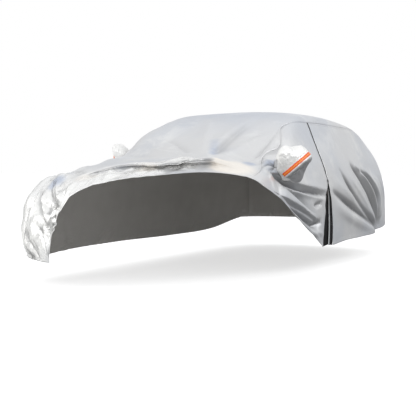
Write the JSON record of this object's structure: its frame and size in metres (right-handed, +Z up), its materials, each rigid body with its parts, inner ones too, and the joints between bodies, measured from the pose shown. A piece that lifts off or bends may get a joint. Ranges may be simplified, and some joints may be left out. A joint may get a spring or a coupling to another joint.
{
  "type": "car cover",
  "caption": "Fitted silver cloth cover for a compact hatchback, front left corner pulled back over the bonnet, with mirror pockets and a side zip open below.",
  "frame": {"origin": "the point under the roof cloth on which the cover hangs", "axes": "+Z up, +Y towards the tail, +X towards the side with the zip; the ground is 1.4445 m below the origin"},
  "size_m": [2.0831, 4.3216, 1.2812],
  "materials": {
    "silver_cloth": "aluminium-coated, satin, softly creased",
    "bright_cloth": "aluminium-coated, bright, finely crinkled",
    "reflective_tape": "orange reflective tape with a yellow middle",
    "zip_tape": "black woven, matt",
    "grey_facing": "grey woven, matt",
    "zip_slider": "black"
  },
  "bodies": {
    "root": {"top_panel": "silver_cloth", "left_side_front": "silver_cloth", "left_side_rear": "silver_cloth", "right_side": "silver_cloth", "left_mirror_pocket": "bright_cloth", "right_mirror_pocket": "bright_cloth", "left_mirror_stripe": "reflective_tape", "right_mirror_stripe": "reflective_tape", "zip_closed": "zip_tape", "zip_tape_front": "zip_tape", "zip_tape_rear": "zip_tape", "zip_guard": "zip_tape", "zip_facing": "grey_facing", "zip_slider": "zip_slider"}
  },
  "joints": []
}
